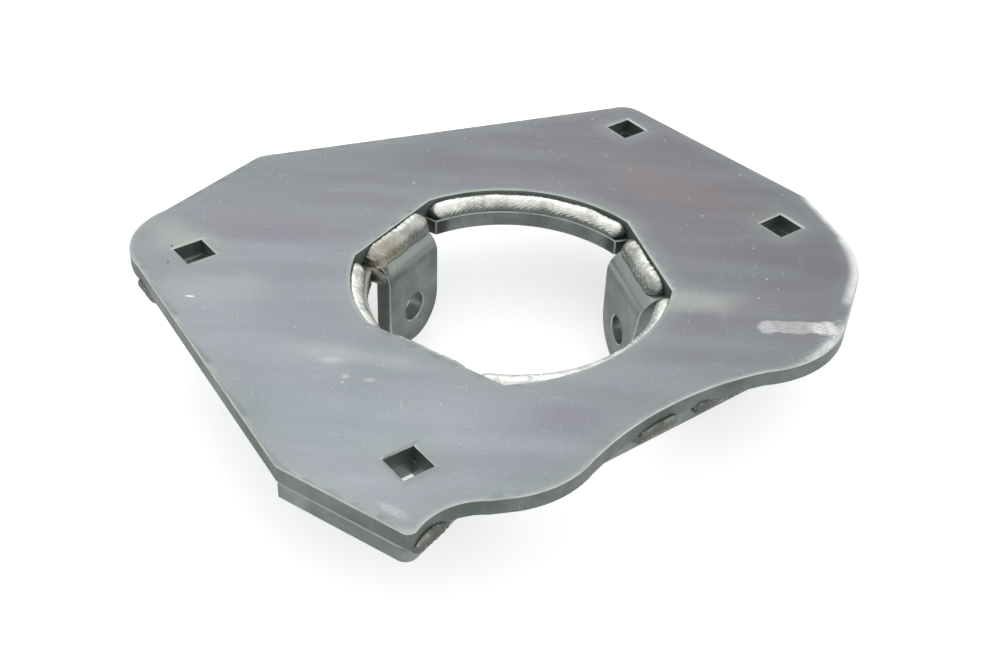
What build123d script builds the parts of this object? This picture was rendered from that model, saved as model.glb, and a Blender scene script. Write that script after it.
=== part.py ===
"""Motor mounting bracket: a flat top plate welded over a lug plate.

The bracket is a weldment of two 6.35 mm steel plates. The top plate carries
four square bolt holes. The lug plate under it has three lugs folded down
around the motor opening, and runs of weld join the two plates. Each lug is a
solid of its own, which meets the flat of the lug plate where its fold starts.

Frame: origin at the centre of the motor opening, on the top face.
+Z is up, +X runs along the two rows of square holes. Units are millimetres.
"""
from build123d import *
from math import cos, radians, sin
import os

# ---- driving dimensions ----
PLATE_THICKNESS = 6.35
SQUARE_HOLE = 11.11

# motor opening in the top plate: a circle with one flat over each lug
OPENING_RADIUS = 56.6
FLAT_DISTANCE = 51.9
FLAT_HALF_ANGLE = 23.5
FRONT_CORNER_ANGLE = -39.4
FRONT_CORNER_RADIUS = 61.2
RIGHT_ARC_RADIUS = 55.7

# motor opening and lugs of the lug plate
LUG_PLATE_RADIUS = 50.8
LUG_FACE_DISTANCE = 42.2
LUG_HALF_WIDTH = 15.0
LUG_HOLE_RADIUS = 5.56
LUG_HOLE_Z = -32.3
LUG_END_RADIUS = 15.2
BEND_RADIUS = 8.9
NOTCH_WIDTH = 5.0
NOTCH_REACH = 57.0

# direction of each lug from the centre, and how far its root flares on each side
LUGS = {
    "right": {"angle": 69.3, "flare_minus": 3.0, "flare_plus": 0.0},
    "left": {"angle": 199.5, "flare_minus": 0.0, "flare_plus": 0.0},
    "front": {"angle": -71.4, "flare_minus": 0.0, "flare_plus": 0.0},
}

# centres of the square holes
SQUARE_HOLES = {
    "left": (-75.2, -84.4),
    "back": (-56.4, 102.9),
    "right": (31.5, 102.9),
    "front": (59.8, -84.4),
}
# the lug plate's front hole lies a little off the top plate's hole
FRONT_HOLE_OFFSET = (-0.7, -0.2)

# weld runs
ARC_BEAD_RADIUS = 4.3
RIGHT_BEAD_RADIUS = 5.2
LEFT_BEAD_RADIUS = 6.0
FRONT_BEAD_RADIUS = 5.0
SIDE_BEAD_RADIUS = 2.6
# ends of the short welds along the outer seam
SIDE_WELDS = {
    "weld_front_side": ((83.4, -97.6), (79.6, -86.4)),
    "weld_right_side_low": ((84.0, -14.0), (84.0, -1.0)),
    "weld_right_side_high": ((84.0, 12.0), (84.0, 27.0)),
    "weld_left_side": ((-76.4, -103.6), (-67.6, -103.6)),
}

TOP_Z = 0.0
SEAM_Z = TOP_Z - PLATE_THICKNESS
UNDER_Z = SEAM_Z - PLATE_THICKNESS
LUG_TIP_Z = LUG_HOLE_Z - LUG_END_RADIUS
BEND_Z = SEAM_Z - BEND_RADIUS
SIDE_BEAD_Z = SEAM_Z - 0.6
INNER_BEND_RADIUS = BEND_RADIUS - PLATE_THICKNESS
BEND_DISTANCE = LUG_FACE_DISTANCE + BEND_RADIUS
ABOVE = 40.0
WIDE = 400.0


def polar(radius: float, angle: float) -> tuple[float, float]:
    """Point at a radius and an angle in degrees about the motor opening."""
    return radius * cos(radians(angle)), radius * sin(radians(angle))


def plate_from(outline: list[Edge], top_z: float) -> Part:
    """Solid plate with its top face at top_z, bounded by a closed outline."""
    face = make_face(Sketch() + outline)
    plate = extrude(face, amount=PLATE_THICKNESS)
    return Pos(0, 0, top_z - PLATE_THICKNESS) * plate


def square_cut(center: tuple[float, float], top_z: float) -> Part:
    """Tool that cuts one square hole through a plate."""
    tool = Box(SQUARE_HOLE, SQUARE_HOLE, PLATE_THICKNESS * 2)
    return Pos(center[0], center[1], top_z - PLATE_THICKNESS / 2) * tool


def lug_plane(angle: float) -> Plane:
    """Sketch plane of a lug: x along its width, y up, normal to the outside."""
    outward = Vector(cos(radians(angle)), sin(radians(angle)), 0)
    across = Vector(-sin(radians(angle)), cos(radians(angle)), 0)
    return Plane(origin=outward * LUG_FACE_DISTANCE, x_dir=across, z_dir=outward)


def top_outline() -> list[Edge]:
    """Outer contour of the top plate: straight cuts and one wavy side."""
    tip = (84.6, -98.6)
    dip_end, crest_start, crest_end = (86.6, -74.2), (90.4, -66.4), (90.6, -38.0)
    shoulder, shoulder_end, shoulder_line = (90.6, 35.5), (88.9, 75.0), (72.6, 99.8)
    curve_end, back_corner = (47.8, 117.4), (23.5, 125.4)
    return [
        Line((-78.0, -105.0), (38.6, -117.6)),
        Line((38.6, -117.6), (82.2, -102.5)),
        ThreePointArc((82.2, -102.5), (84.4, -101.0), tip),
        ThreePointArc(tip, (81.9, -87.5), dip_end),
        Line(dip_end, crest_start),
        ThreePointArc(crest_start, (93.3, -52.5), crest_end),
        ThreePointArc(crest_end, (85.0, -1.0), shoulder),
        ThreePointArc(shoulder, (95.0, 55.5), shoulder_end),
        Line(shoulder_end, shoulder_line),
        ThreePointArc(shoulder_line, (62.0, 110.4), curve_end),
        Line(curve_end, back_corner),
        Line(back_corner, (-64.5, 117.5)),
        ThreePointArc((-64.5, 117.5), (-70.0, 115.3), (-73.2, 109.0)),
        Line((-73.2, 109.0), (-119.4, -29.8)),
        ThreePointArc((-119.4, -29.8), (-120.0, -32.4), (-119.6, -35.2)),
        Line((-119.6, -35.2), (-105.6, -80.5)),
        ThreePointArc((-105.6, -80.5), (-98.0, -97.0), (-78.0, -105.0)),
    ]


def top_opening() -> list[Edge]:
    """Motor opening of the top plate: arcs between three flats."""
    right, left, front = (LUGS[name]["angle"] for name in ("right", "left", "front"))
    front_corner = polar(FRONT_CORNER_RADIUS, FRONT_CORNER_ANGLE)
    right_start = polar(OPENING_RADIUS, right - FLAT_HALF_ANGLE)
    right_end = polar(OPENING_RADIUS, right + FLAT_HALF_ANGLE)
    left_start = polar(OPENING_RADIUS, left - FLAT_HALF_ANGLE)
    left_end = polar(OPENING_RADIUS, left + FLAT_HALF_ANGLE)
    front_start = polar(OPENING_RADIUS, front - FLAT_HALF_ANGLE)
    return [
        ThreePointArc(front_corner, polar(RIGHT_ARC_RADIUS, 0), right_start),
        Line(right_start, right_end),
        ThreePointArc(right_end, polar(OPENING_RADIUS, 135), left_start),
        Line(left_start, left_end),
        ThreePointArc(left_end, polar(OPENING_RADIUS, 245), front_start),
        Line(front_start, front_corner),
    ]


def make_top_plate() -> Part:
    """Top plate: a flat cut plate with four square holes and the motor opening."""
    plate = plate_from(top_outline(), TOP_Z)
    opening = plate_from(top_opening(), TOP_Z)
    plate -= opening
    for center in SQUARE_HOLES.values():
        plate -= square_cut(center, TOP_Z)
    return plate


def lug_plate_blank() -> Part:
    """Flat part of the lug plate: a body around the opening with four arms."""
    front_arm = [(38.6, -117.6), (84.9, -101.6), (77.2, -79.0)]
    right_side = [(84.0, -48.0), (84.0, 48.0)]
    right_arm = [(64.0, 90.0), (48.0, 115.0), (16.0, 115.0)]
    back_edge = [(8.0, 86.0), (-34.0, 86.0)]
    back_arm = [(-40.0, 114.0), (-66.0, 110.0), (-80.0, 70.0)]
    left_side = [(-74.0, 20.0), (-84.0, -36.0)]
    left_arm = [(-100.0, -58.0), (-97.0, -86.0), (-79.0, -103.6), (-65.0, -103.6)]
    front_edge = [(-52.0, -78.0), (22.0, -80.0)]
    corners = front_arm + right_side + right_arm + back_edge
    corners += back_arm + left_side + left_arm + front_edge
    outline = Polyline(*corners, close=True)
    blank = extrude(make_face(Sketch() + outline), amount=PLATE_THICKNESS)
    upright = blank.edges().filter_by(Axis.Z)
    rounded = [edge for edge in upright if not is_flush_corner(edge)]
    blank = fillet(rounded, 4.0)
    return Pos(0, 0, UNDER_Z) * blank


def is_flush_corner(edge: Edge) -> bool:
    """True for the corner of the front arm that stays square with the top plate."""
    middle = edge.center()
    return abs(middle.X - 38.6) < 1 and abs(middle.Y + 117.6) < 1


def lug_cutout(lug: dict) -> Part:
    """Tool that frees a lug from the plate: its fold and the notches beside it."""
    low = -LUG_HALF_WIDTH - NOTCH_WIDTH - lug["flare_minus"]
    high = LUG_HALF_WIDTH + NOTCH_WIDTH + lug["flare_plus"]
    height = PLATE_THICKNESS * 2
    inner = 30.0
    fold = Pos((inner + BEND_DISTANCE) / 2, (low + high) / 2, 0)
    tool = fold * Box(BEND_DISTANCE - inner, high - low, height)
    half_slot = NOTCH_WIDTH / 2
    slot_length = NOTCH_REACH - half_slot - inner
    for across in (low + half_slot, high - half_slot):
        tool += Pos(inner + slot_length / 2, across, 0) * Box(slot_length, NOTCH_WIDTH, height)
        tool += Pos(inner + slot_length, across, 0) * Cylinder(half_slot, height)
    turned = Rot(0, 0, lug["angle"]) * tool
    return Pos(0, 0, SEAM_Z - PLATE_THICKNESS / 2) * turned


def lug_solid(lug: dict) -> Part:
    """One folded lug: the bend, and the flat ear with its round end and hole."""
    low = -LUG_HALF_WIDTH - lug["flare_minus"]
    high = LUG_HALF_WIDTH + lug["flare_plus"]
    flare_end = BEND_Z - 11.0
    straight = LUG_HALF_WIDTH
    ear = make_face(Sketch() + [
        Line((low, BEND_Z), (high, BEND_Z)),
        Line((high, BEND_Z), (straight, flare_end)),
        Line((straight, flare_end), (straight, LUG_HOLE_Z)),
        ThreePointArc((straight, LUG_HOLE_Z), (0, LUG_TIP_Z), (-straight, LUG_HOLE_Z)),
        Line((-straight, LUG_HOLE_Z), (-straight, flare_end)),
        Line((-straight, flare_end), (low, BEND_Z)),
    ])
    ear -= Pos(0, LUG_HOLE_Z) * Circle(LUG_HOLE_RADIUS)
    plane = lug_plane(lug["angle"])
    flat = extrude(plane * ear, amount=PLATE_THICKNESS)

    pivot = (BEND_DISTANCE, BEND_Z)
    quarter = Polyline(
        pivot, (BEND_DISTANCE, ABOVE), (BEND_DISTANCE - ABOVE, ABOVE),
        (BEND_DISTANCE - ABOVE, BEND_Z), close=True,
    )
    section = Pos(*pivot) * Circle(BEND_RADIUS) - Pos(*pivot) * Circle(INNER_BEND_RADIUS)
    section = section & make_face(Sketch() + quarter)
    upright = Plane(origin=(0, 0, 0), x_dir=(1, 0, 0), z_dir=(0, -1, 0))
    bend = extrude(upright * section, amount=high - low)
    bend = Rot(0, 0, lug["angle"]) * (Pos(0, high, 0) * bend)
    return flat + bend


def make_lug_plate() -> Part:
    """Flat of the lug plate, cut free around the three lugs."""
    plate = lug_plate_blank()
    plate -= Pos(0, 0, SEAM_Z - PLATE_THICKNESS / 2) * Cylinder(LUG_PLATE_RADIUS, PLATE_THICKNESS * 2)
    for name, center in SQUARE_HOLES.items():
        shift = FRONT_HOLE_OFFSET if name == "front" else (0.0, 0.0)
        place = (center[0] + shift[0], center[1] + shift[1])
        plate -= square_cut(place, SEAM_Z)
    for lug in LUGS.values():
        plate -= lug_cutout(lug)
    return plate


def rounded_run(path: Edge, radius: float) -> Part:
    """Round bar along a path, with a ball at each end."""
    profile = Plane(origin=path @ 0, z_dir=path % 0) * Circle(radius)
    run = sweep(profile, path=path)
    for end in (0, 1):
        run += Pos(path @ end) * Sphere(radius)
    return run


def fillet_run(path: Edge, radius: float, plates: list[Part], floor_z: float) -> Part:
    """Weld run: the part of a round bar that lies in the corner of the plates."""
    run = rounded_run(path, radius)
    for plate in plates:
        run -= plate
    keep = Pos(0, 0, floor_z + ABOVE / 2) * Box(WIDE, WIDE, ABOVE)
    run = run & keep
    return max(run.solids(), key=lambda solid: solid.volume)


def arc_run(radius: float, start: float, end: float, height: float) -> Edge:
    """Path of a weld run around the motor opening."""
    ends = [Vector(*polar(radius, angle), height) for angle in (start, (start + end) / 2, end)]
    return ThreePointArc(*ends)


def side_run(start: tuple[float, float], end: tuple[float, float]) -> Edge:
    """Path of a short weld along the outer seam between the plates."""
    return Line((*start, SIDE_BEAD_Z), (*end, SIDE_BEAD_Z))


def lug_run(lug: dict, height: float) -> Edge:
    """Path of a weld run along the fold of a lug."""
    distance = FLAT_DISTANCE - 0.3
    reach = LUG_HALF_WIDTH - 3.5
    across = Vector(*polar(1, lug["angle"] + 90), 0)
    middle = Vector(*polar(distance, lug["angle"]), height)
    return Line(middle - across * reach, middle + across * reach)


plates = {"top_plate": make_top_plate(), "lug_plate": make_lug_plate()}
for name, lug in LUGS.items():
    plates[f"{name}_lug"] = lug_solid(lug)
steel = list(plates.values())

bead_z = SEAM_Z + 0.2
lug_bead_z = SEAM_Z - 0.5
welds = {
    "weld_back_arc": fillet_run(arc_run(OPENING_RADIUS - 0.2, 97, 172, bead_z),
                                ARC_BEAD_RADIUS, steel, SEAM_Z),
    "weld_left_arc": fillet_run(arc_run(OPENING_RADIUS - 0.2, 227, 262, bead_z),
                                ARC_BEAD_RADIUS, steel, SEAM_Z),
    "weld_right_arc": fillet_run(arc_run(OPENING_RADIUS - 0.9, -45, 42, bead_z),
                                 ARC_BEAD_RADIUS, steel, SEAM_Z),
    "weld_right_lug": fillet_run(lug_run(LUGS["right"], lug_bead_z),
                                 RIGHT_BEAD_RADIUS, steel, UNDER_Z),
    "weld_left_lug": fillet_run(lug_run(LUGS["left"], lug_bead_z),
                                LEFT_BEAD_RADIUS, steel, UNDER_Z),
    "weld_front_lug": fillet_run(lug_run(LUGS["front"], lug_bead_z),
                                 FRONT_BEAD_RADIUS, steel, UNDER_Z),
}
for node, (start, end) in SIDE_WELDS.items():
    welds[node] = fillet_run(side_run(start, end), SIDE_BEAD_RADIUS, steel, UNDER_Z)

os.makedirs("parts", exist_ok=True)
for node, solid in (plates | welds).items():
    export_step(solid, f"parts/{node}.step")
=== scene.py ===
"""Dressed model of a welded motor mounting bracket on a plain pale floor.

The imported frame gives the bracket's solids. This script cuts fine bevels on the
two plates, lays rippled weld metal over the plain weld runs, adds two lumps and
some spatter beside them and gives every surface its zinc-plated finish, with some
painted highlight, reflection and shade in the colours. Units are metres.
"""

import logging
import math
import random
from dataclasses import dataclass
from enum import Enum
from typing import Iterable, Sequence

import bmesh
import bpy
from bpy.types import Material, Mesh, Node, NodeSocket, NodeTree, Object
from mathutils import Matrix, Vector, kdtree, noise

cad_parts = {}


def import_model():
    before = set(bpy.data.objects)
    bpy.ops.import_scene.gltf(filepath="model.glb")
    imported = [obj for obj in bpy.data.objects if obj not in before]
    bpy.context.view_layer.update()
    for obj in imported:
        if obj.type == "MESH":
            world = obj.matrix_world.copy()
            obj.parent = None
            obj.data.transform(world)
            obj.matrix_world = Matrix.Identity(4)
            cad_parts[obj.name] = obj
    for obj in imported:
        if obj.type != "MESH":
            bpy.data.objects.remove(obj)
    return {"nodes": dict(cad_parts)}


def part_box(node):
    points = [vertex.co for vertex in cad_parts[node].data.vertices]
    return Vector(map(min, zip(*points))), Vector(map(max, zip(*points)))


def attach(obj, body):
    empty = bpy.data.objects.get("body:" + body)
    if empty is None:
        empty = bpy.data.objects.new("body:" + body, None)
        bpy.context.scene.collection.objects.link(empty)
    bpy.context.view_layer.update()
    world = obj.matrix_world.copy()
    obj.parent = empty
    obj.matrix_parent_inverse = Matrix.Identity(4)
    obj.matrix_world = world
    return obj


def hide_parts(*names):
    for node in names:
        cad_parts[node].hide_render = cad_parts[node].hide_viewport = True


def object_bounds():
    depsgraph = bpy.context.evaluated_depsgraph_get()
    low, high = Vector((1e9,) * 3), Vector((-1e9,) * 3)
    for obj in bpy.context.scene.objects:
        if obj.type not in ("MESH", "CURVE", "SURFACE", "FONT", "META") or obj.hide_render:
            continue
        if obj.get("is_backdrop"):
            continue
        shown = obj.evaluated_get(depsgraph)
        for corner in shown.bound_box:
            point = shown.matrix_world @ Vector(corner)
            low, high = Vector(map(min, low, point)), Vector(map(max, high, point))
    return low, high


LOG = logging.getLogger("bracket")
MM = 0.001
Color = tuple[float, float, float]
Point2 = tuple[float, float]
WHITE: Color = (1.0, 1.0, 1.0)


class WeldPath(Enum):
    """How a weld run travels."""

    ARC = "arc"
    STRAIGHT = "straight"


# -------- node helpers

# a mix node's colour sockets, by place, since its number and vector sockets have the same names
MIX_FIRST, MIX_SECOND, MIX_RESULT = 6, 7, 2


class NodeDesk:
    """Short calls that place and wire shader nodes in one tree."""

    def __init__(self, tree: NodeTree) -> None:
        """Start on the node tree that new nodes go into."""
        self.tree = tree

    def add(self, kind: str, **settings: object) -> Node:
        """Place a node and set its properties.

        Args:
            kind: Blender's node type.
            **settings: attributes of the node.

        Returns:
            The new node.
        """
        node = self.tree.nodes.new(kind)
        for name, value in settings.items():
            setattr(node, name, value)
        return node

    def feed(self, socket: NodeSocket, value: object) -> None:
        """Give a socket a link, a number or a colour.

        Args:
            socket: the input socket.
            value: an output socket, or a plain value.
        """
        if isinstance(value, NodeSocket):
            self.tree.links.new(value, socket)
        elif isinstance(value, tuple) and len(value) == 3 and socket.type == "RGBA":
            socket.default_value = (*value, 1.0)
        else:
            socket.default_value = value

    def fill(self, node: Node, **values: object) -> Node:
        """Feed a node's inputs by name.

        Args:
            node: the node.
            **values: input names and what they get.

        Returns:
            The same node.
        """
        for label, value in values.items():
            self.feed(node.inputs[label], value)
        return node

    def math(self, operation: str, *values: object, clamp: bool = False) -> NodeSocket:
        """Math node.

        Args:
            operation: the name of the operation.
            *values: its inputs in order.
            clamp: keep the result between 0 and 1.

        Returns:
            The result socket.
        """
        node = self.add("ShaderNodeMath", operation=operation, use_clamp=clamp)
        for socket, value in zip(node.inputs, values):
            self.feed(socket, value)
        return node.outputs[0]

    def vector(self, operation: str, *values: object) -> NodeSocket:
        """Vector math node.

        Args:
            operation: the name of the operation.
            *values: its inputs in order.

        Returns:
            The vector result, or the value where the operation gives one.
        """
        node = self.add("ShaderNodeVectorMath", operation=operation)
        for socket, value in zip(node.inputs, values):
            self.feed(socket, value)
        return node.outputs[1 if operation in {"LENGTH", "DOT_PRODUCT", "DISTANCE"} else 0]

    def mix(self, factor: object, first: object, second: object, blend: str = "MIX") -> NodeSocket:
        """Colour mix.

        Args:
            factor: how much of the second colour.
            first: colour or socket.
            second: colour or socket.
            blend: the blend type.

        Returns:
            The mixed colour.
        """
        node = self.add("ShaderNodeMix", data_type="RGBA", blend_type=blend)
        self.feed(node.inputs[0], factor)
        self.feed(node.inputs[MIX_FIRST], first)
        self.feed(node.inputs[MIX_SECOND], second)
        return node.outputs[MIX_RESULT]

    def remap(self, value: object, low: float, high: float,
              to_low: float = 0.0, to_high: float = 1.0) -> NodeSocket:
        """Smooth, clamped map from one range to another.

        Args:
            value: the input.
            low: where the input range starts.
            high: where the input range ends.
            to_low: the result at low.
            to_high: the result at high.

        Returns:
            The mapped value.
        """
        node = self.add("ShaderNodeMapRange", interpolation_type="SMOOTHSTEP")
        for socket, item in zip(node.inputs, (value, low, high, to_low, to_high)):
            self.feed(socket, item)
        return node.outputs[0]

    def noise(self, place: object, scale: float, detail: float = 4.0, rough: float = 0.55) -> NodeSocket:
        """Noise value between 0 and 1.

        Args:
            place: the coordinates.
            scale: cells a unit.
            detail: octaves.
            rough: how strong the finer octaves are.

        Returns:
            The noise value.
        """
        node = self.add("ShaderNodeTexNoise")
        return self.fill(node, Vector=place, Scale=scale, Detail=detail, Roughness=rough).outputs["Fac"]

    def stretched(self, place: object, scale: Sequence[float], turn: float = 0.0) -> NodeSocket:
        """Coordinates turned about Z, then scaled.

        Args:
            place: the coordinates.
            scale: the scale along each axis.
            turn: degrees about Z.

        Returns:
            The new coordinates.
        """
        turned = self.add("ShaderNodeMapping")
        self.fill(turned, Vector=place, Rotation=(0.0, 0.0, math.radians(turn)))
        scaled = self.add("ShaderNodeMapping")
        return self.fill(scaled, Vector=turned.outputs[0], Scale=tuple(scale)).outputs[0]

    def swayed(self, value: object, by: object, amount: float, clamp: bool = False) -> NodeSocket:
        """A value moved by amount times how far a noise lies from a half."""
        shift = self.math("MULTIPLY", self.math("SUBTRACT", by, 0.5), amount)
        return self.math("ADD", value, shift, clamp=clamp)

    def attribute(self, name: str) -> NodeSocket:
        """Value of one of the mesh's own attributes."""
        return self.add("ShaderNodeAttribute", attribute_name=name).outputs["Fac"]

    def axes(self, vector: object) -> Node:
        """Split a vector.

        Args:
            vector: the vector.

        Returns:
            The node, with X, Y and Z outputs.
        """
        node = self.add("ShaderNodeSeparateXYZ")
        self.feed(node.inputs[0], vector)
        return node

    def bump(self, height: object, strength: float, distance: float, under: object = None) -> NodeSocket:
        """Normal bent by a height.

        Args:
            height: the height.
            strength: how much of the bend to use.
            distance: metres for a height of 1.
            under: the normal to bend, where it isn't the surface's own.

        Returns:
            The new normal.
        """
        node = self.fill(self.add("ShaderNodeBump"), Strength=strength, Distance=distance, Height=height)
        if under is not None:
            self.feed(node.inputs["Normal"], under)
        return node.outputs[0]

    def scatter(self, place: object, scale: object, share: object, size: object,
                vary: bool = False) -> NodeSocket:
        """Mask of round marks, one in each chosen cell.

        Args:
            place: the coordinates.
            scale: cells a unit.
            share: how many of the cells have a mark.
            size: a mark's radius, in cells.
            vary: make each mark smaller by its own chance.

        Returns:
            The mask.
        """
        cells = self.fill(self.add("ShaderNodeTexVoronoi", feature="F1"), Vector=place, Scale=scale)
        chance = self.add("ShaderNodeSeparateColor")
        self.feed(chance.inputs[0], cells.outputs["Color"])
        chosen = self.math("LESS_THAN", chance.outputs["Red"], share)
        radius = self.math("MULTIPLY", size, chance.outputs["Green"]) if vary else size
        inside = self.math("LESS_THAN", cells.outputs["Distance"], radius)
        return self.math("MULTIPLY", chosen, inside)


class EffectGroup:
    """One shader node group, which takes coordinates and numbers and gives numbers."""

    def __init__(self, name: str, outputs: tuple[str, ...], **inputs: float) -> None:
        """Make the group and its sockets.

        Args:
            name: the group's name.
            outputs: the names of its outputs.
            **inputs: its inputs beside Place, with their defaults.
        """
        self.tree = bpy.data.node_groups.new(name, "ShaderNodeTree")
        self.tree.interface.new_socket("Place", in_out="INPUT", socket_type=VECTOR)
        for label, default in inputs.items():
            socket = self.tree.interface.new_socket(label, in_out="INPUT", socket_type=FLOAT)
            socket.default_value = default
        for label in outputs:
            self.tree.interface.new_socket(label, in_out="OUTPUT", socket_type=FLOAT)
        self.desk = NodeDesk(self.tree)
        self.entry = self.desk.add("NodeGroupInput")
        self.exit = self.desk.add("NodeGroupOutput")

    def give(self, **results: object) -> None:
        """Link results to the group's outputs of the same names."""
        for label, result in results.items():
            self.desk.feed(self.exit.inputs[label], result)

    def place(self, desk: NodeDesk, **values: object) -> Node:
        """Put the group into a material.

        Args:
            desk: the material's desk.
            **values: input names and what they get.

        Returns:
            The group node.
        """
        node = desk.add("ShaderNodeGroup")
        node.node_tree = self.tree
        return desk.fill(node, **values)


EDGE_BREAK = "edge_break"
EDGE_DISTANCE = "edge_distance"
FLOAT = "NodeSocketFloat"
VECTOR = "NodeSocketVector"

# turn in degrees, then cells a metre along and across the scratches
SCRATCH_SETS = ((-38.0, 130.0, 2000.0), (27.0, 170.0, 2300.0), (81.0, 210.0, 2600.0))

# heights of the cut lines and the grain, and depth of the marks, in the fine relief
LINE_HEIGHT = 0.5
GRAIN_HEIGHT = 0.35
MARK_DEPTH = 0.3


class Effects:
    """The effects that more than one finish uses."""

    def __init__(self) -> None:
        """Build each effect's group."""
        self.plating = self._plating()
        self.edges = self._edges()
        self.specks = self._specks()
        self.scratches = self._scratches()

    @staticmethod
    def _plating() -> EffectGroup:
        """Cloudy zinc plating: soft clouds, long bands and a fine grain.

        Returns:
            The group, with Cloud, Band and Grain outputs.
        """
        group = EffectGroup("cloudy_plating", ("Cloud", "Band", "Grain"))
        desk, place = group.desk, group.entry.outputs["Place"]
        cloud = desk.noise(place, scale=16.0, detail=3.0, rough=0.5)
        drawn_out = desk.stretched(place, scale=(12.0, 75.0, 12.0), turn=-51.0)
        bands = desk.noise(drawn_out, scale=1.0, detail=3.0, rough=0.5)
        grain = desk.noise(place, scale=900.0, detail=2.0, rough=0.6)
        cloud, band = (desk.remap(value, low=0.3, high=0.7) for value in (cloud, bands))
        group.give(Cloud=cloud, Band=band, Grain=grain)
        return group

    @staticmethod
    def _edges() -> EffectGroup:
        """Tells cut walls, broken edges and the strip beside an edge from the flat faces.

        Returns:
            The group, with Wall, Break, Halo and Rim outputs.
        """
        group = EffectGroup("edge_kinds", ("Wall", "Break", "Halo", "Rim"))
        desk, place = group.desk, group.entry.outputs["Place"]
        slope = desk.axes(desk.add("ShaderNodeNewGeometry").outputs["True Normal"])
        wall = desk.remap(desk.math("ABSOLUTE", slope.outputs["Z"]), low=0.5, high=0.2)
        distance = desk.attribute(EDGE_DISTANCE)
        ragged = desk.noise(place, scale=150.0, detail=3.0)
        halo = desk.remap(desk.swayed(distance, ragged, amount=2.6), low=9.0, high=0.0)
        rim = desk.remap(desk.swayed(distance, ragged, amount=1.2), low=1.6, high=0.2)
        group.give(Wall=wall, Break=desk.attribute(EDGE_BREAK), Halo=halo, Rim=rim)
        return group

    @staticmethod
    def _specks() -> EffectGroup:
        """Tiny scattered specks.

        Returns:
            The group, with a Mask output.
        """
        group = EffectGroup("specks", ("Mask",), Scale=300.0, Size=0.12, Share=0.1)
        place, *values = (group.entry.outputs[name] for name in ("Place", "Scale", "Share", "Size"))
        group.give(Mask=group.desk.scatter(place, *values, vary=True))
        return group

    @staticmethod
    def _scratches() -> EffectGroup:
        """Short straight scratches, in three directions.

        Returns:
            The group, with a Mask output.
        """
        group = EffectGroup("scratches", ("Mask",), Share=0.06)
        desk, entry = group.desk, group.entry.outputs
        total: object = 0.0
        for turn, along, across in SCRATCH_SETS:
            drawn_out = desk.stretched(entry["Place"], (along, across, 1.0), turn)
            marks = desk.scatter(drawn_out, scale=1.0, share=entry["Share"], size=0.32)
            total = desk.math("ADD", total, marks, clamp=True)
        group.give(Mask=total)
        return group


# -------- finishes


def new_material(name: str) -> tuple[Material, NodeDesk, Node]:
    """Start a material.

    Args:
        name: the material's name.

    Returns:
        The material, a desk on its nodes, and its shader.
    """
    material = bpy.data.materials.new(name)
    material.use_nodes = True
    return material, NodeDesk(material.node_tree), material.node_tree.nodes["Principled BSDF"]


@dataclass(frozen=True)
class Patch:
    """A soft-edged mark, as a turned ellipse or a turned box.

    Middles, half sizes and rim are in millimetres, and turn is in degrees. It fades
    over the share soft of its size, its edge is moved by ragged times a noise, and
    broken takes fine gaps out of it. Where rim isn't zero, the mark keeps that
    close to an edge.
    """

    center: Point2
    half: Point2
    turn: float
    color: Color
    strength: float
    soft: float = 0.9
    broken: float = 0.0
    grain: float = 60.0
    ragged: float = 0.9
    boxy: bool = False
    rim: float = 0.0
    on_walls: bool = False


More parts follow.
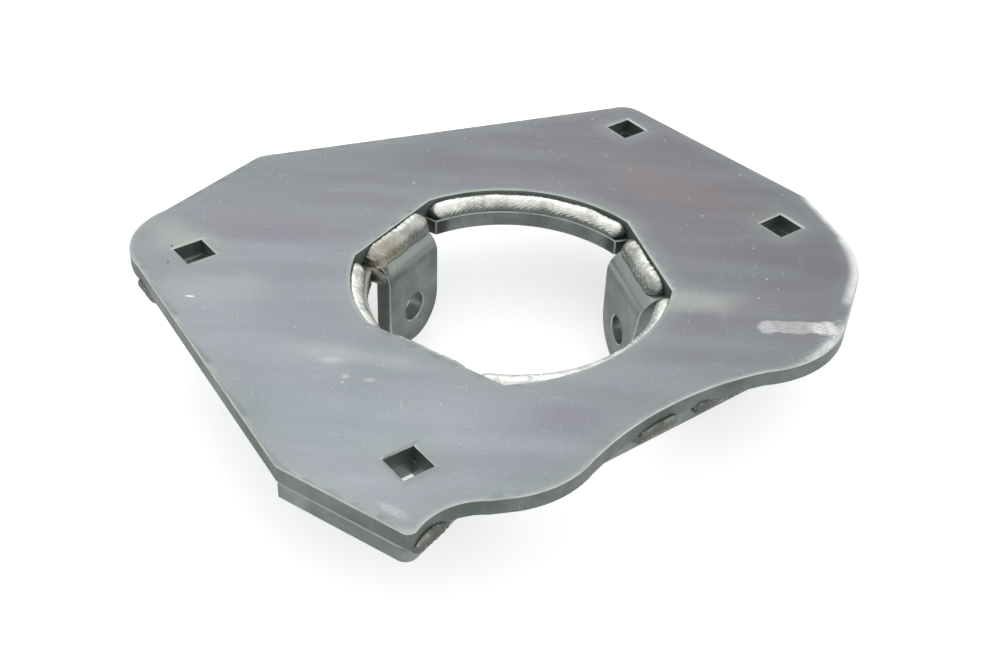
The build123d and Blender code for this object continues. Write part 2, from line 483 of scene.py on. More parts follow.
@dataclass(frozen=True)
class PlateFinish:
    """Colours and gloss of one zinc-plated sheet, with painted reflection, highlight and shade."""

    name: str
    dark: Color
    light: Color
    violet: Color
    teal: Color
    wall_dark: Color
    wall_light: Color
    # pale colour of the broken edges and their rims, worn plating with a painted highlight, also used for
    # the cut lines on the walls
    edge: Color
    halo: Color
    speck: Color = (0.62, 0.64, 0.62)
    roughness: float = 0.42
    metallic: float = 0.72
    # which way the painted reflection on the flats grows lighter
    painted_sheen_toward: Point2 = (0.35, -0.94)
    patches: tuple[Patch, ...] = ()
    speck_share: float = 0.05
    halo_strength: float = 0.5
    rim_strength: float = 0.22
    mark_strength: float = 0.55
    scratch_strength: float = 0.45

    def build(self, effects: Effects) -> Material:
        """Make the material.

        Args:
            effects: the shared node groups.

        Returns:
            The finished material.
        """
        material, desk, shader = new_material(self.name)
        place = desk.add("ShaderNodeTexCoord").outputs["Object"]
        plating = effects.plating.place(desk, Place=place)
        edges = effects.edges.place(desk, Place=place)
        color = self._flat_color(desk, place, plating)
        color = desk.mix(desk.math("MULTIPLY", edges.outputs["Halo"], self.halo_strength), color, self.halo)
        for patch in (patch for patch in self.patches if not patch.on_walls):
            color = self._lay_patch(desk, place, color, patch)
        specks = effects.specks.place(desk, Place=place, Scale=300.0, Size=0.19, Share=self.speck_share)
        scratches = effects.scratches.place(desk, Place=place, Share=0.012)
        scratched = desk.math("MULTIPLY", scratches.outputs["Mask"], self.scratch_strength)
        marks = desk.math("MINIMUM", desk.math("ADD", specks.outputs["Mask"], scratched), 1.0)
        color = desk.mix(desk.math("MULTIPLY", marks, self.mark_strength), color, self.speck)
        # pale line beside each broken edge: worn plating and a painted edge highlight
        color = desk.mix(desk.math("MULTIPLY", edges.outputs["Rim"], self.rim_strength), color, self.edge)
        # cut walls take a darker finish by slope; on the lug plate the same mask darkens the folded lugs'
        # bends and upright faces as painted shade
        color = desk.mix(edges.outputs["Wall"], color, self._wall_color(desk, place))
        for patch in (patch for patch in self.patches if patch.on_walls):
            color = self._lay_patch(desk, place, color, patch)
        # the bevel faces go pale in patches: worn plating and a painted edge highlight
        wear_and_highlight_noise = desk.noise(place, scale=130.0, detail=3.0)
        worn_and_highlit = desk.remap(wear_and_highlight_noise, low=0.3, high=0.62, to_low=0.45, to_high=1.0)
        color = desk.mix(desk.math("MULTIPLY", edges.outputs["Break"], worn_and_highlit), color, self.edge)
        desk.feed(shader.inputs["Base Color"], color)
        shader.inputs["Metallic"].default_value = self.metallic
        rough = desk.remap(plating.outputs["Cloud"], 0.0, 1.0, self.roughness - 0.05, self.roughness + 0.07)
        rough = desk.math("ADD", rough, desk.math("MULTIPLY", edges.outputs["Wall"], 0.08))
        rough = desk.math("ADD", rough, desk.math("MULTIPLY", marks, 0.12))
        desk.feed(shader.inputs["Roughness"], rough)
        desk.feed(shader.inputs["Normal"], self._relief(desk, place, plating, edges, marks))
        return material

    def _flat_color(self, desk: NodeDesk, place: object, plating: Node) -> NodeSocket:
        """Plating colour over the flat faces, over a painted reflection that is lighter towards one side.

        Args:
            desk: the material's desk.
            place: the coordinates.
            plating: the placed plating group.

        Returns:
            The colour.
        """
        # painted reflection: the flat colour runs from dark to light along one direction, with the plating's
        # bands and clouds over it
        along = desk.vector("DOT_PRODUCT", place, (*self.painted_sheen_toward, 0.0))
        sheen_and_plating_tone = desk.remap(along, low=-0.12, high=0.12, to_low=0.06, to_high=0.86)
        sheen_and_plating_tone = desk.swayed(sheen_and_plating_tone, plating.outputs["Band"], amount=0.30)
        sheen_and_plating_tone = desk.swayed(sheen_and_plating_tone, plating.outputs["Cloud"], amount=0.26, clamp=True)
        color = desk.mix(sheen_and_plating_tone, self.dark, self.light)
        drawn_out = desk.stretched(place, scale=(9.0, 26.0, 9.0), turn=-47.0)
        tint = desk.noise(drawn_out, scale=1.0, detail=2.0)
        violet = desk.remap(tint, low=0.50, high=0.68, to_low=0.0, to_high=0.55)
        teal = desk.remap(tint, low=0.47, high=0.30, to_low=0.0, to_high=0.5)
        color = desk.mix(teal, desk.mix(violet, color, self.violet), self.teal)
        grain = desk.remap(plating.outputs["Grain"], low=0.2, high=0.8, to_low=0.93, to_high=1.06)
        return desk.mix(1.0, color, grain, "MULTIPLY")

    @staticmethod
    def _lay_patch(desk: NodeDesk, place: object, color: object, patch: Patch) -> NodeSocket:
        """Mix one patch over a colour.

        Args:
            desk: the material's desk.
            place: the coordinates.
            color: the colour under the patch.
            patch: the mark to lay.

        Returns:
            The colour with the mark.
        """
        moved = desk.vector("SUBTRACT", place, (patch.center[0] * MM, patch.center[1] * MM, 0.0))
        scale = (1.0 / (patch.half[0] * MM), 1.0 / (patch.half[1] * MM), 0.0)
        spread = desk.stretched(moved, scale, -patch.turn)
        if patch.boxy:
            sides = desk.axes(desk.vector("ABSOLUTE", spread))
            reach = desk.math("MAXIMUM", sides.outputs["X"], sides.outputs["Y"])
        else:
            reach = desk.vector("LENGTH", spread)
        reach = desk.swayed(reach, desk.noise(place, patch.grain, detail=3.0), patch.ragged)
        mask = desk.remap(reach, low=1.0, high=1.0 - patch.soft, to_high=patch.strength)
        if patch.broken > 0:
            drawn_out = desk.stretched(place, (1.0, 3.0, 1.0), -patch.turn)
            gaps = desk.noise(drawn_out, scale=420.0, detail=4.0, rough=0.7)
            whole = desk.remap(gaps, low=0.42, high=0.55, to_low=1.0 - patch.broken)
            mask = desk.math("MULTIPLY", mask, whole)
        if patch.rim > 0:
            near = desk.remap(desk.attribute(EDGE_DISTANCE), low=patch.rim, high=0.0)
            mask = desk.math("MULTIPLY", mask, near)
        return desk.mix(mask, color, patch.color)

    def _wall_color(self, desk: NodeDesk, place: object) -> NodeSocket:
        """Colour of the cut walls, with faint upright cut lines; on the lug plate also painted shade on the
        folded lugs.

        Args:
            desk: the material's desk.
            place: the coordinates.

        Returns:
            The wall's colour.
        """
        blotch = desk.noise(place, scale=55.0, detail=4.0, rough=0.6)
        color = desk.mix(desk.remap(blotch, low=0.32, high=0.68), self.wall_dark, self.wall_light)
        pale = desk.remap(self._cut_lines(desk, place), low=0.6, high=0.85, to_high=0.12)
        return desk.mix(pale, color, self.edge)

    @staticmethod
    def _cut_lines(desk: NodeDesk, place: object) -> NodeSocket:
        """Fine upright lines, as a noise drawn out along Z."""
        drawn_out = desk.stretched(place, (900.0, 900.0, 60.0))
        return desk.noise(drawn_out, scale=1.0, detail=2.0, rough=0.5)

    def _relief(self, desk: NodeDesk, place: object, plating: Node, edges: Node,
                marks: object) -> NodeSocket:
        """Normal with the sheet's slight waviness, its grain and its cut lines.

        Args:
            desk: the material's desk.
            place: the coordinates.
            plating: the placed plating group.
            edges: the placed edge group.
            marks: mask of specks and scratches.

        Returns:
            The normal.
        """
        wave = desk.bump(desk.noise(place, scale=42.0, detail=2.0), strength=0.14, distance=1.4 * MM)
        on_walls = desk.math("MULTIPLY", edges.outputs["Wall"], LINE_HEIGHT)
        lines = desk.math("MULTIPLY", self._cut_lines(desk, place), on_walls)
        grain = desk.math("MULTIPLY", plating.outputs["Grain"], GRAIN_HEIGHT)
        height = desk.math("ADD", grain, lines)
        height = desk.math("SUBTRACT", height, desk.math("MULTIPLY", marks, MARK_DEPTH))
        return desk.bump(height, strength=0.3, distance=0.2 * MM, under=wave)


@dataclass(frozen=True)
class WeldFinish:
    """Plated weld metal, with a browned place where a run was started.

    The browned place is given in metres from the centre of the opening. Its crest
    keeps a painted highlight, and its sloping sides take painted shade.
    """

    name: str = "plated_weld_metal"
    bright: Color = (0.82, 0.83, 0.79)
    dull: Color = (0.50, 0.515, 0.485)
    # colour of the painted shade on the weld's sloping sides
    side: Color = (0.155, 0.168, 0.156)
    soot: Color = (0.09, 0.085, 0.07)
    brown: Color = (0.33, 0.285, 0.20)
    brown_place: tuple[float, float, float] = (-0.0452, -0.0262, -0.009)
    brown_reach: float = 0.015
    speck: Color = (0.85, 0.85, 0.82)
    roughness: float = 0.27
    metallic: float = 0.9

    def build(self, effects: Effects) -> Material:
        """Make the material.

        Args:
            effects: the shared node groups.

        Returns:
            The finished material.
        """
        material, desk, shader = new_material(self.name)
        place = desk.add("ShaderNodeTexCoord").outputs["Object"]
        plating = effects.plating.place(desk, Place=place)
        mottle = desk.noise(place, scale=210.0, detail=4.0, rough=0.6)
        smear = desk.noise(place, scale=85.0, detail=3.0)
        color = desk.mix(desk.remap(mottle, low=0.40, high=0.68), self.bright, self.dull)
        # painted light by slope: the crest keeps the pale mottle as a highlight, and the sides darken to the
        # side colour as shade
        crown = desk.axes(desk.add("ShaderNodeNewGeometry").outputs["Normal"])
        painted_light_slope = desk.swayed(crown.outputs["Z"], smear, amount=0.7)
        color = desk.mix(desk.remap(painted_light_slope, low=0.88, high=0.18), color, self.side)
        color = desk.mix(desk.remap(smear, low=0.66, high=0.82, to_high=0.5), color, self.soot)
        away = desk.vector("DISTANCE", place, self.brown_place)
        away = desk.swayed(away, smear, amount=8.0 * MM)
        brown = desk.remap(away, low=self.brown_reach, high=0.2 * self.brown_reach, to_high=0.85)
        color = desk.mix(brown, color, self.brown)
        specks = effects.specks.place(desk, Place=place, Scale=620.0, Size=0.3, Share=0.07)
        color = desk.mix(desk.math("MULTIPLY", specks.outputs["Mask"], 0.5), color, self.speck)
        desk.feed(shader.inputs["Base Color"], color)
        shader.inputs["Metallic"].default_value = self.metallic
        rough = desk.remap(mottle, 0.3, 0.7, self.roughness - 0.06, self.roughness + 0.16)
        desk.feed(shader.inputs["Roughness"], rough)
        height = desk.math("ADD", mottle, desk.math("MULTIPLY", plating.outputs["Grain"], 0.3))
        desk.feed(shader.inputs["Normal"], desk.bump(height, strength=0.4, distance=0.25 * MM))
        return material


@dataclass(frozen=True)
class FloorFinish:
    """Plain matt white floor, with a slight glow that keeps its shadows pale."""

    name: str = "studio_floor"
    color: Color = (0.90, 0.90, 0.90)
    glow: float = 0.42
    roughness: float = 0.9
    specular: float = 0.1

    def build(self) -> Material:
        """Make the material.

        Returns:
            The finished material.
        """
        material, _, shader = new_material(self.name)
        shader.inputs["Base Color"].default_value = (*self.color, 1.0)
        shader.inputs["Roughness"].default_value = self.roughness
        shader.inputs["Specular IOR Level"].default_value = self.specular
        shader.inputs["Emission Color"].default_value = (*WHITE, 1.0)
        shader.inputs["Emission Strength"].default_value = self.glow
        return material


# -------- pieces

# material slots of a sheet while it is worked: its own faces, and those that the bevel makes
WHOLE_FACE, BROKEN_FACE = 0, 1
WELD_SHADE_ANGLE = 60.0
# keeps the slow swell of a weld run out of step with its wobble
SWELL_SHIFT = Vector((7.0, 0.0, 0.0))


def link(piece: Object) -> Object:
    """Put an object into the scene, and give it back."""
    bpy.context.scene.collection.objects.link(piece)
    return piece


def freeze(piece: Object) -> None:
    """Apply an object's modifiers to its mesh.

    Args:
        piece: the object, which keeps its name and place.
    """
    evaluated = piece.evaluated_get(bpy.context.evaluated_depsgraph_get())
    mesh = bpy.data.meshes.new_from_object(evaluated)
    piece.modifiers.clear()
    piece.data = mesh


def shade(mesh: Mesh, angle: float) -> None:
    """Smooth shading, with sharp edges above an angle in degrees."""
    mesh.polygons.foreach_set("use_smooth", [True] * len(mesh.polygons))
    mesh.set_sharp_from_angle(angle=math.radians(angle))


def weld_piece(work: bmesh.types.BMesh, name: str, material: Material) -> Object:
    """Make a piece of weld metal from worked geometry, which is freed.

    Args:
        work: the geometry.
        name: the new piece's name.
        material: the weld finish.

    Returns:
        The new piece.
    """
    mesh = bpy.data.meshes.new(name)
    work.to_mesh(mesh)
    work.free()
    shade(mesh, WELD_SHADE_ANGLE)
    mesh.materials.append(material)
    return link(bpy.data.objects.new(name, mesh))


@dataclass
class Sheet:
    """A cut sheet: the frame's solids joined into one, with the edges just broken.

    Edges that turn by less than corner stay as they are. Points closer than
    same_point are one point, and faces that turn by less than same_plane one face.
    """

    name: str
    members: tuple[str, ...]
    slot: str
    finish: PlateFinish
    nodes: dict[str, Object]
    edge_break: float = 0.42 * MM
    corner: float = math.radians(35)
    grid: float = 3.2 * MM
    reach: float = 20.0 * MM
    same_point: float = 0.002 * MM
    same_plane: float = math.radians(0.5)
    seam_gap: float = 0.01 * MM
    cut_gap: float = 0.001 * MM
    row_step: float = 0.8 * MM
    flat_slope: float = 0.99
    shade_angle: float = 20.0

    def build(self, effects: Effects) -> Object:
        """Join, bevel and dress a copy of the solids.

        Args:
            effects: the shared node groups.

        Returns:
            The new piece.
        """
        mesh = self._join()
        mesh.materials.append(None)
        mesh.materials.append(None)
        piece = link(bpy.data.objects.new(self.name, mesh))
        bevel = piece.modifiers.new("edge_break", "BEVEL")
        bevel.width = self.edge_break
        bevel.segments = 1
        bevel.material = BROKEN_FACE
        bevel.limit_method = "WEIGHT"
        freeze(piece)
        self._mark_edges(piece.data)
        shade(piece.data, self.shade_angle)
        piece.data.materials.clear()
        piece.data.materials.append(self.finish.build(effects))
        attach(piece, "root")
        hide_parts(*self.members)
        return piece

    def _join(self) -> Mesh:
        """Join the solids, without the walls between them.

        Returns:
            One closed mesh with its plane faces whole.
        """
        work = bmesh.new()
        for member in self.members:
            part = bmesh.new()
            part.from_mesh(self.nodes[member].data)
            bmesh.ops.remove_doubles(part, verts=part.verts, dist=self.same_point)
            bmesh.ops.dissolve_limit(part, angle_limit=self.same_plane, verts=part.verts, edges=part.edges)
            mesh = bpy.data.meshes.new("member")
            part.to_mesh(mesh)
            part.free()
            work.from_mesh(mesh)
            bpy.data.meshes.remove(mesh)
        bmesh.ops.remove_doubles(work, verts=work.verts, dist=self.seam_gap)
        between = [face for face in work.faces if all(len(edge.link_faces) > 2 for edge in face.edges)]
        bmesh.ops.delete(work, geom=between, context="FACES_ONLY")
        LOG.info("%s: %d faces between solids removed", self.name, len(between))
        work.normal_update()
        weight = work.edges.layers.float.new("bevel_weight_edge")
        for edge in work.edges:
            corner = edge.is_manifold and edge.is_convex and edge.calc_face_angle() > self.corner
            edge[weight] = float(corner)
        mesh = bpy.data.meshes.new(self.name)
        work.to_mesh(mesh)
        work.free()
        return mesh

    def _mark_edges(self, mesh: Mesh) -> None:
        """Grid the flats, and note the broken edges and each point's distance from one.

        Args:
            mesh: the bevelled mesh.
        """
        work = bmesh.new()
        work.from_mesh(mesh)
        rows = self._edge_points(work)
        self._lay_grid(work)
        broken = work.faces.layers.float.new(EDGE_BREAK)
        distance = work.verts.layers.float.new(EDGE_DISTANCE)
        for face in work.faces:
            face[broken] = float(face.material_index == BROKEN_FACE)
            face.material_index = WHOLE_FACE
        for vertex in work.verts:
            vertex[distance] = min(rows.find(vertex.co)[2], self.reach) / MM
        work.to_mesh(mesh)
        work.free()

    def _edge_points(self, work: bmesh.types.BMesh) -> kdtree.KDTree:
        """Points along the broken edges, ready to search.

        Args:
            work: the bevelled mesh.

        Returns:
            A search tree of points under a millimetre apart.
        """
        points: list[Vector] = []
        for edge in work.edges:
            if any(face.material_index == BROKEN_FACE for face in edge.link_faces):
                first, second = (vertex.co for vertex in edge.verts)
                count = max(1, math.ceil((second - first).length / self.row_step))
                points.extend(first.lerp(second, step / count) for step in range(count + 1))
        tree = kdtree.KDTree(len(points))
        for index, point in enumerate(points):
            tree.insert(point, index)
        tree.balance()
        return tree

    def _lay_grid(self, work: bmesh.types.BMesh) -> None:
        """Cut the large flats along an even grid.

        Args:
            work: the mesh to cut.
        """
        low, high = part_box(self.members[0])
        for axis in (0, 1):
            normal = Vector((float(axis == 0), float(axis == 1), 0.0))
            lines = math.ceil((high[axis] - low[axis]) / self.grid)
            for line in range(1, lines):
                flats = [face for face in work.faces
                         if face.material_index == WHOLE_FACE and abs(face.normal.z) > self.flat_slope]
                parts = {part for face in flats for part in (face, *face.edges, *face.verts)}
                middle = normal * (low[axis] + line * self.grid)
                bmesh.ops.bisect_plane(
                    work, geom=list(parts), plane_co=middle, plane_no=normal, dist=self.cut_gap)


@dataclass
class WeldRun:
    """One run of weld metal with crescent ripples.

    A ripple trails by the share bend of the pitch at the way crescent across the
    run, and falls off behind its front by the power fall.
    """

    node: str
    path: WeldPath
    heading: float
    nodes: dict[str, Object]
    pitch: float = 2.3 * MM
    ripple: float = 0.20 * MM
    swell: float = 0.35 * MM
    voxel: float = 0.36 * MM
    fills_ledge: bool = False
    ledge_radius: float = 51.1 * MM
    crescent: float = 4.0 * MM
    bend: float = 0.5
    wobble: float = 0.35
    wobble_scale: float = 260.0
    fall: float = 0.6
    swell_scale: float = 130.0
    grit: float = 0.10 * MM
    grit_scale: float = 620.0
    lift: float = 0.02 * MM
    soften: int = 4

    def build(self, material: Material) -> Object:
        """Ripple a fine copy of the solid and dress it.

        Args:
            material: the weld finish.

        Returns:
            The new piece.
        """
        piece = link(bpy.data.objects.new(f"{self.node}_ripples", self.nodes[self.node].data.copy()))
        fine = piece.modifiers.new("fine_mesh", "REMESH")
        fine.mode = "VOXEL"
        fine.voxel_size = self.voxel
        smooth = piece.modifiers.new("soften", "SMOOTH")
        smooth.iterations = self.soften
        freeze(piece)
        if self.fills_ledge:
            self._fill_ledge(piece.data)
        self._ripple(piece.data)
        shade(piece.data, WELD_SHADE_ANGLE)
        piece.data.materials.clear()
        piece.data.materials.append(material)
        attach(piece, "root")
        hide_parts(self.node)
        return piece

    def _station(self, point: Vector, middle: Vector) -> tuple[float, float]:
        """Distance of a point along the run, and across it.

        Args:
            point: the point.
            middle: the middle of the run's box.

        Returns:
            The distance along and the distance across.
        """
        if self.path is WeldPath.ARC:
            radius = math.hypot(point.x, point.y)
            return math.atan2(point.y, point.x) % math.tau * radius, radius - math.hypot(middle.x, middle.y)
        turn = math.radians(self.heading)
        offset = point - middle
        along = offset.x * math.cos(turn) + offset.y * math.sin(turn)
        return along, -offset.x * math.sin(turn) + offset.y * math.cos(turn)

    def _fill_ledge(self, mesh: Mesh) -> None:
        """Widen the run inwards, until it covers the ledge that it lies on.

        Args:
            mesh: the fine mesh.
        """
        radii = [math.hypot(vertex.co.x, vertex.co.y) for vertex in mesh.vertices]
        outer, inner = max(radii), min(radii)
        stretch = (outer - self.ledge_radius) / (outer - inner)
        for vertex, radius in zip(mesh.vertices, radii):
            share = (outer - (outer - radius) * stretch) / radius
            vertex.co.x *= share
            vertex.co.y *= share

    def _ripple(self, mesh: Mesh) -> None:
        """Move each vertex along its normal by the ripple and a slow swell.

        Args:
            mesh: the fine mesh.
        """
        low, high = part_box(self.node)
        middle = (Vector(low) + Vector(high)) / 2
        normals = [normal.vector.copy() for normal in mesh.vertex_normals]
        for vertex, normal in zip(mesh.vertices, normals):
            along, across = self._station(vertex.co, middle)
            crescent = along / self.pitch + (across / self.crescent) ** 2 * self.bend
            wobble = noise.noise(vertex.co * self.wobble_scale) * self.wobble
            step = (crescent + wobble) % 1.0
            height = self.ripple * (1.0 - step) ** self.fall
            height += self.swell * noise.noise(vertex.co * self.swell_scale + SWELL_SHIFT)
            height += self.grit * noise.noise(vertex.co * self.grit_scale)
            vertex.co += normal * (height + self.lift)


@dataclass(frozen=True)
class WeldBlob:
    """A lump where a run was started, over the notch beside a lug.

    The centre is given by direction in degrees, and by distance, way across and
    height. All lengths are in millimetres.
    """

    name: str
    angle: float
    distance: float
    across: float
    height: float
    radii: tuple[float, float, float]
    swell: float = 0.9
    swell_scale: float = 240.0
    grit: float = 0.2
    grit_scale: float = 700.0

    def build(self, material: Material) -> Object:
        """Shape the lump.

        Args:
            material: the weld finish.

        Returns:
            The new piece.
        """
        turn = Matrix.Rotation(math.radians(self.angle), 4, "Z")
        center = Matrix.Translation(Vector((self.distance, self.across, self.height)) * MM)
        size = Matrix.Diagonal((*(radius * MM for radius in self.radii), 1.0))
        work = bmesh.new()
        bmesh.ops.create_icosphere(work, subdivisions=5, radius=1.0, matrix=turn @ center @ size)
        for vertex in work.verts:
            vertex.co += vertex.normal * noise.noise(vertex.co * self.swell_scale) * self.swell * MM
            vertex.co += vertex.normal * noise.noise(vertex.co * self.grit_scale) * self.grit * MM
        piece = weld_piece(work, self.name, material)
        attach(piece, "root")
        return piece


@dataclass
class Spatter:
    """Small balls of metal that stuck to the sheet beside the welds.

    Radii are in millimetres, and stretch is a ball's height to its width.
    """

    arc_radius: float = 50.55 * MM
    arc_span: Point2 = (96.0, 172.0)
    wall_top: float = -7.4 * MM
    wall_low: float = -11.8 * MM
    side_start: Point2 = (82.6 * MM, -95.5 * MM)
    side_end: Point2 = (78.4 * MM, -83.0 * MM)
    radii: Point2 = (0.12, 0.34)
    stretch: Point2 = (0.7, 1.2)
    count: int = 26
    seed: int = 4

    def build(self, material: Material) -> Object:
        """Scatter the balls as one piece.

        Args:
            material: the weld finish.

        Returns:
            The new piece.
        """
        draw = random.Random(self.seed)
        work = bmesh.new()
        for center in self._centers(draw):
            size = draw.uniform(*self.radii) * MM
            shape = Matrix.Diagonal((size, size, size * draw.uniform(*self.stretch), 1.0))
            ball = Matrix.Translation(center) @ shape
            bmesh.ops.create_icosphere(work, subdivisions=2, radius=1.0, matrix=ball)
        piece = weld_piece(work, "weld_spatter", material)
        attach(piece, "root")
        return piece

    def _centers(self, draw: random.Random) -> Iterable[Vector]:
        """Where the balls sit: on the wall of the opening and by the front weld.

        Args:
            draw: the source of random numbers.

        Yields:
            Each ball's centre.
        """
        for _ in range(self.count):
            turn = math.radians(draw.uniform(*self.arc_span))
            height = draw.uniform(self.wall_low, self.wall_top)
            yield Vector((self.arc_radius * math.cos(turn), self.arc_radius * math.sin(turn), height))
        for _ in range(self.count // 2):
            share = draw.random()
            x = self.side_start[0] + (self.side_end[0] - self.side_start[0]) * share
            y = self.side_start[1] + (self.side_end[1] - self.side_start[1]) * share
            yield Vector((x, y, draw.uniform(self.wall_low, self.wall_top)))


# -------- studio


@dataclass(frozen=True)
class StudioCamera:
    """Camera place, aim and lens."""

    place: tuple[float, float, float] = (0.32252, -0.26164, 0.29118)
    aim: tuple[float, float, float] = (0.02501, -0.02402, 0.0)
    roll: float = 2.466
    lens: float = 51.805
    sensor: float = 36.0
    nearest: float = 0.01
    farthest: float = 50.0

    def build(self) -> None:
        """Set up the camera and make it the scene's."""
        data = bpy.data.cameras.new("studio_camera")
        data.lens = self.lens
        data.sensor_width = self.sensor
        data.clip_start = self.nearest
        data.clip_end = self.farthest
        camera = link(bpy.data.objects.new("studio_camera", data))
        look = Vector(self.aim) - Vector(self.place)
        turn = look.to_track_quat("-Z", "Y").to_matrix().to_4x4()
        turn = turn @ Matrix.Rotation(math.radians(self.roll), 4, "Z")
        camera.matrix_world = Matrix.Translation(self.place) @ turn
        bpy.context.scene.camera = camera


@dataclass(frozen=True)
class SoftBox:
    """One soft area light."""

    name: str
    place: tuple[float, float, float]
    size: float
    power: float
    color: Color = WHITE

    def build(self) -> None:
        """Hang the light, aimed at the bracket."""
        data = bpy.data.lights.new(self.name, "AREA")
        data.shape = "SQUARE"
        data.size = self.size
        data.energy = self.power
        data.color = self.color
        lamp = link(bpy.data.objects.new(self.name, data))
        turn = (-Vector(self.place)).to_track_quat("-Z", "Y").to_matrix().to_4x4()
        lamp.matrix_world = Matrix.Translation(self.place) @ turn


@dataclass
class Studio:
    """Plain pale floor, soft light and a bright even surround."""

    floor_size: float = 8.0
    surround: float = 1.0
    boxes: tuple[SoftBox, ...] = (
        SoftBox("key_softbox", place=(-0.75, 0.35, 1.05), size=0.9, power=2.7),
        SoftBox("fill_softbox", place=(0.9, 0.9, 0.9), size=0.8, power=1.0),
    )

    def build(self, floor_z: float) -> None:
        """Set up floor, lights and surround.

        Args:
            floor_z: the height that the bracket stands on.
        """
        half = self.floor_size / 2
        corners = [(-half, -half), (half, -half), (half, half), (-half, half)]
        mesh = bpy.data.meshes.new("studio_floor")
        mesh.from_pydata([(x, y, floor_z) for x, y in corners], [], [(0, 1, 2, 3)])
        mesh.materials.append(FloorFinish().build())
        link(bpy.data.objects.new("studio_floor", mesh))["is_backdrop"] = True
        for box in self.boxes:
            box.build()
        world = bpy.data.worlds.new("studio_surround")
        world.use_nodes = True
        background = world.node_tree.nodes["Background"]
        background.inputs["Color"].default_value = (*WHITE, 1.0)
        background.inputs["Strength"].default_value = self.surround
        bpy.context.scene.world = world
        bpy.context.scene.view_settings.view_transform = "Standard"


# -------- the bracket

TOP_FINISH = PlateFinish(
    name="plated_top_plate",
    dark=(0.172, 0.172, 0.192),
    light=(0.285, 0.312, 0.338),
    violet=(0.215, 0.195, 0.232),
    teal=(0.205, 0.242, 0.255),
    wall_dark=(0.085, 0.105, 0.097),
    wall_light=(0.145, 0.165, 0.155),
    edge=(0.50, 0.54, 0.49),
    halo=(0.250, 0.280, 0.272),
    patches=(
        Patch((-8.0, 88.0), (52.0, 18.0), 20.0, (0.225, 0.185, 0.185), 0.65),
        Patch((-48.0, 34.0), (34.0, 14.0), 52.0, (0.215, 0.20, 0.235), 0.4),
        Patch((-100.0, -38.0), (26.0, 34.0), 0.0, (0.195, 0.225, 0.235), 0.7),
        Patch((-84.0, 20.0), (20.0, 30.0), 0.0, (0.175, 0.185, 0.198), 0.6),
        Patch((50.0, 44.0), (26.0, 10.0), 50.0, (0.385, 0.405, 0.375), 0.7),
        Patch((-86.0, -84.0), (22.0, 12.0), 20.0, (0.365, 0.385, 0.345), 0.6),
        Patch((-52.0, -90.0), (30.0, 14.0), 50.0, (0.335, 0.365, 0.37), 0.6),
        Patch((-96.0, 0.0), (34.0, 9.0), 71.0, (0.195, 0.225, 0.22), 0.6),
        Patch((8.0, -70.0), (34.0, 7.0), 45.0, (0.37, 0.385, 0.39), 0.5),
        Patch((5.0, -77.5), (6.0, 2.2), 50.0, (0.50, 0.51, 0.51), 0.3, ragged=1.6),
        Patch((15.0, -78.0), (2.4, 1.6), 50.0, (0.52, 0.50, 0.50), 0.45,
              soft=0.8, grain=240.0, ragged=1.5),
        Patch((20.9, -72.8), (2.4, 1.4), 50.0, (0.52, 0.50, 0.50), 0.4,
              soft=0.8, grain=240.0, ragged=1.5),
        Patch((79.6, 61.2), (13.6, 3.6), 53.0, (0.47, 0.48, 0.47), 0.9,
              soft=0.2, broken=0.45, grain=200.0, ragged=0.8, boxy=True),
        Patch((73.4, 52.4), (3.6, 4.2), 53.0, (0.52, 0.53, 0.52), 0.7,
              soft=0.5, broken=0.35, grain=260.0, ragged=1.3),
        Patch((85.6, 68.6), (5.2, 4.4), 53.0, (0.72, 0.74, 0.72), 0.95,
              soft=0.4, broken=0.7, grain=220.0, ragged=1.6),
        # near-white along the right rim: a ground, worn edge with a painted highlight
        Patch((66.0, 104.0), (27.0, 14.0), -48.0, (0.85, 0.87, 0.85), 1.0,
              soft=0.35, broken=0.2, grain=120.0, ragged=0.6, rim=4.2),
        Patch((38.0, 119.5), (20.0, 9.0), -18.0, (0.85, 0.87, 0.85), 0.95,
              soft=0.35, broken=0.2, grain=120.0, ragged=0.5, rim=2.6),
        Patch((91.5, 72.0), (20.0, 7.0), -82.0, (0.72, 0.74, 0.72), 0.95,
              soft=0.8, broken=0.6, grain=150.0, ragged=1.3, rim=5.5),
        Patch((93.0, 56.0), (12.0, 5.0), -86.0, (0.78, 0.80, 0.78), 0.9,
              soft=0.8, broken=0.6, grain=150.0, ragged=1.3, rim=3.0),
        Patch((73.5, -99.8), (8.0, 2.0), 19.0, (0.44, 0.46, 0.44), 0.5, soft=0.8, broken=0.5, ragged=1.4),
        Patch((-51.7, -98.4), (1.9, 0.5), 50.0, (0.80, 0.80, 0.78), 0.9,
              soft=0.4, grain=300.0, ragged=0.5),
        Patch((-82.5, -89.6), (0.9, 0.7), 0.0, (0.07, 0.06, 0.05), 0.8,
              soft=0.6, grain=300.0, ragged=0.3),
        Patch((-74.2, -95.3), (0.8, 0.7), 0.0, (0.09, 0.08, 0.07), 0.7,
              soft=0.6, grain=300.0, ragged=0.3),
    ),
)

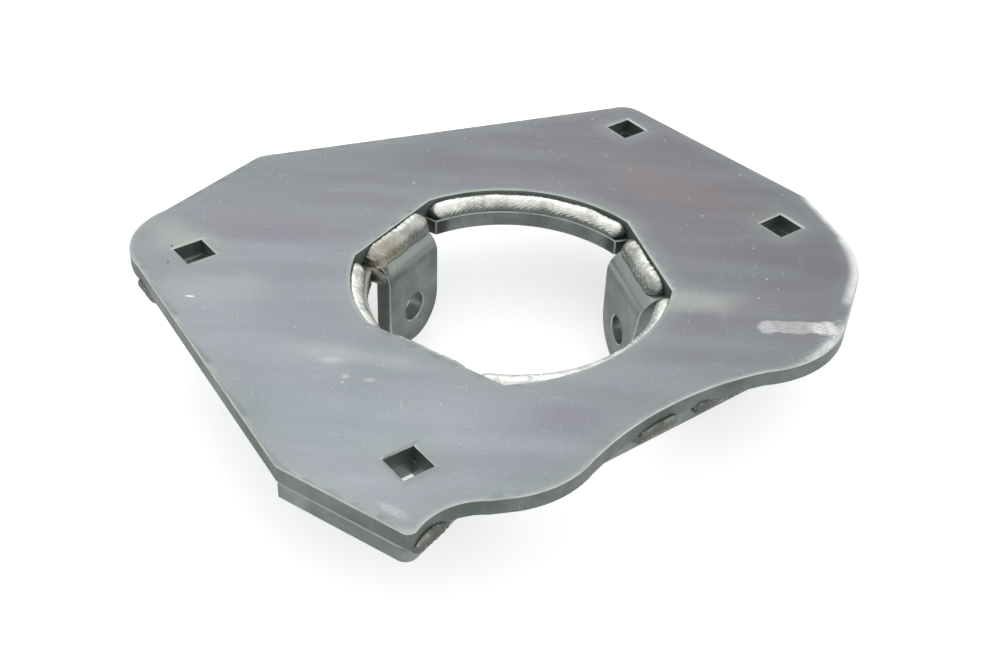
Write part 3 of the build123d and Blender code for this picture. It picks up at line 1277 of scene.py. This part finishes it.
LUG_FINISH = PlateFinish(
    name="plated_lug_plate",
    dark=(0.21, 0.235, 0.225),
    light=(0.35, 0.385, 0.37),
    violet=(0.24, 0.245, 0.265),
    teal=(0.23, 0.275, 0.262),
    # on this sheet the wall colours also fall on the folded lugs' bends and upright faces: painted shade
    wall_dark=(0.105, 0.124, 0.115),
    wall_light=(0.20, 0.222, 0.208),
    edge=(0.37, 0.40, 0.37),
    halo=(0.215, 0.24, 0.228),
    roughness=0.33,
    metallic=0.8,
    speck_share=0.03,
    patches=(
        # near-black marks on the walls beside the lugs: painted shade
        Patch((-53.5, 5.6), (6.0, 6.0), 0.0, (0.025, 0.025, 0.022), 0.9,
              soft=0.5, rim=3.6, on_walls=True),
        Patch((-4.5, 54.5), (6.0, 6.0), 0.0, (0.025, 0.025, 0.022), 0.9,
              soft=0.5, rim=3.6, on_walls=True),
        Patch((48.0, 29.0), (5.0, 5.0), 0.0, (0.03, 0.03, 0.027), 0.8, soft=0.5, rim=3.6, on_walls=True),
        Patch((-42.5, -36.0), (6.0, 6.0), 0.0, (0.03, 0.028, 0.022), 0.8,
              soft=0.5, rim=3.6, on_walls=True),
        Patch((-39.0, -30.5), (6.5, 5.0), 0.0, (0.052, 0.045, 0.034), 0.8,
              soft=0.5, rim=6.0, on_walls=True),
    ),
)

FOLD_WELD_FINISH = WeldFinish(
    name="grey_weld_metal",
    bright=(0.54, 0.55, 0.52),
    dull=(0.34, 0.352, 0.33),
    side=(0.165, 0.178, 0.166),
)

# the weld finish darkened all over, as painted shade on the seam welds and the left toe lump
SHADED_SEAM_WELD_FINISH = WeldFinish(
    name="shaded_weld_metal",
    bright=(0.24, 0.245, 0.222),
    dull=(0.13, 0.133, 0.118),
    side=(0.105, 0.11, 0.10),
    soot=(0.045, 0.04, 0.033),
    roughness=0.38,
)

BLOBS = (
    WeldBlob("weld_left_toe", angle=199.5, distance=49.6, across=17.6, height=-9.9, radii=(7.0, 2.5, 3.1)),
    WeldBlob("weld_left_start", angle=199.5, distance=50.4, across=13.2, height=-8.2, radii=(4.6, 4.4, 2.6)),
)

# degrees about Z: which way each lug faces, and which way each seam weld travels
LUG_ANGLES = {"right": 69.3, "left": 199.5, "front": -71.4}
SEAM_HEADINGS = {"front_side": 108.7, "right_side_low": 90.0, "right_side_high": 90.0, "left_side": 0.0}


class Bracket:
    """The whole bracket: two sheets, the weld runs and the spatter."""

    def __init__(self, nodes: dict[str, Object]) -> None:
        """Hold the frame's objects by node name, and build the shared effects."""
        self.nodes = nodes
        self.effects = Effects()

    def sheets(self) -> list[Sheet]:
        """The two cut sheets."""
        folded = ("lug_plate", *(f"{side}_lug" for side in LUG_ANGLES))
        return [
            Sheet("cut_top_plate", ("top_plate",), "plated_plate", TOP_FINISH, self.nodes),
            Sheet("folded_lug_plate", folded, "plated_lug_plate", LUG_FINISH, self.nodes),
        ]

    def arc_runs(self) -> list[WeldRun]:
        """The bright runs around the opening."""
        fills = {"back": True, "right": True, "left": False}
        return [
            WeldRun(f"weld_{side}_arc", WeldPath.ARC, 0.0, self.nodes, fills_ledge=fill)
            for side, fill in fills.items()
        ]

    def fold_runs(self) -> list[WeldRun]:
        """The grey runs along the folds of the lugs."""
        turns = {f"weld_{side}_lug": angle + 90.0 for side, angle in LUG_ANGLES.items()}
        return [
            WeldRun(node, WeldPath.STRAIGHT, turn, self.nodes, pitch=2.8 * MM)
            for node, turn in turns.items()
        ]

    def seam_runs(self) -> list[WeldRun]:
        """The short runs along the outer seam, in weld metal darkened as painted shade."""
        rough = {"pitch": 1.9 * MM, "ripple": 0.34 * MM, "swell": 0.75 * MM}
        return [
            WeldRun(f"weld_{side}", WeldPath.STRAIGHT, turn, self.nodes, **rough)
            for side, turn in SEAM_HEADINGS.items()
        ]

    def build(self) -> None:
        """Build and dress every piece, and report each one."""
        bright = WeldFinish().build(self.effects)
        grey = FOLD_WELD_FINISH.build(self.effects)
        # dark is the weld finish darkened as painted shade
        dark = SHADED_SEAM_WELD_FINISH.build(self.effects)
        pieces = [sheet.build(self.effects) for sheet in self.sheets()]
        pieces += [run.build(bright) for run in self.arc_runs()]
        pieces += [run.build(grey) for run in self.fold_runs()]
        pieces += [run.build(dark) for run in self.seam_runs()]
        pieces += [blob.build(metal) for blob, metal in zip(BLOBS, (dark, grey))]
        pieces.append(Spatter().build(bright))
        for piece in pieces:
            LOG.info("%s: %d faces", piece.name, len(piece.data.polygons))


def main() -> None:
    """Load the frame, build the camera, bracket and studio, and keep the sizes."""
    logging.basicConfig(level=logging.INFO, format="%(name)s %(message)s")
    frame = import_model()
    cad_box = [list(corner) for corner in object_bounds()]
    StudioCamera().build()
    Bracket(frame["nodes"]).build()
    Studio().build(cad_box[0][2])


if __name__ == "__main__":
    main()
